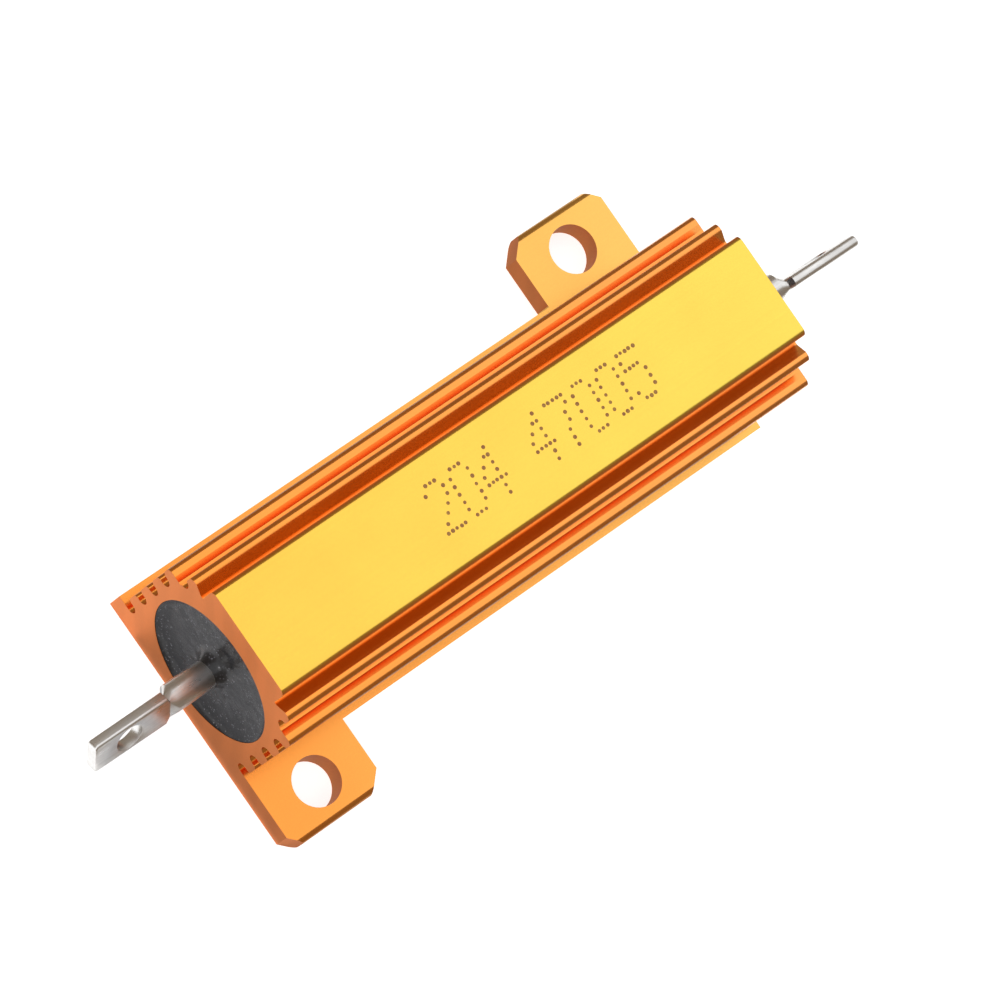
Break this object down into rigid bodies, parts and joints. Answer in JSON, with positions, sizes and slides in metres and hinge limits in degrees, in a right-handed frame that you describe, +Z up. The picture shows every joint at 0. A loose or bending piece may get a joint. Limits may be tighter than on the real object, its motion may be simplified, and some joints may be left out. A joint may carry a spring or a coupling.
{
  "type": "aluminium housed power resistor",
  "caption": "Wirewound power resistor potted in a finned, gold-anodised aluminium extrusion, with diagonal mounting lugs and a flattened solder tag at each end.",
  "frame": {"origin": "middle of the base face, under the bore's axis, halfway between the two sawn ends", "axes": "+X along the extrusion and the leads, +Y towards the lug at the +X end, +Z up from the base face"},
  "size_m": [0.073, 0.0272, 0.0155],
  "materials": {
    "anodised_aluminium": "gold anodised, satin",
    "potting_compound": "dark charcoal, slightly speckled",
    "steatite": "fired, unglazed",
    "resistance_alloy": "drawn",
    "cap_steel": "drawn",
    "tinned_lead": "tinned, satin"
  },
  "bodies": {
    "root": {"housing": "anodised_aluminium", "potting": "potting_compound", "ceramic_core": "steatite", "resistance_wire": "resistance_alloy", "end_cap_near": "cap_steel", "end_cap_far": "cap_steel", "terminal_near": "tinned_lead", "terminal_far": "tinned_lead"}
  },
  "joints": []
}
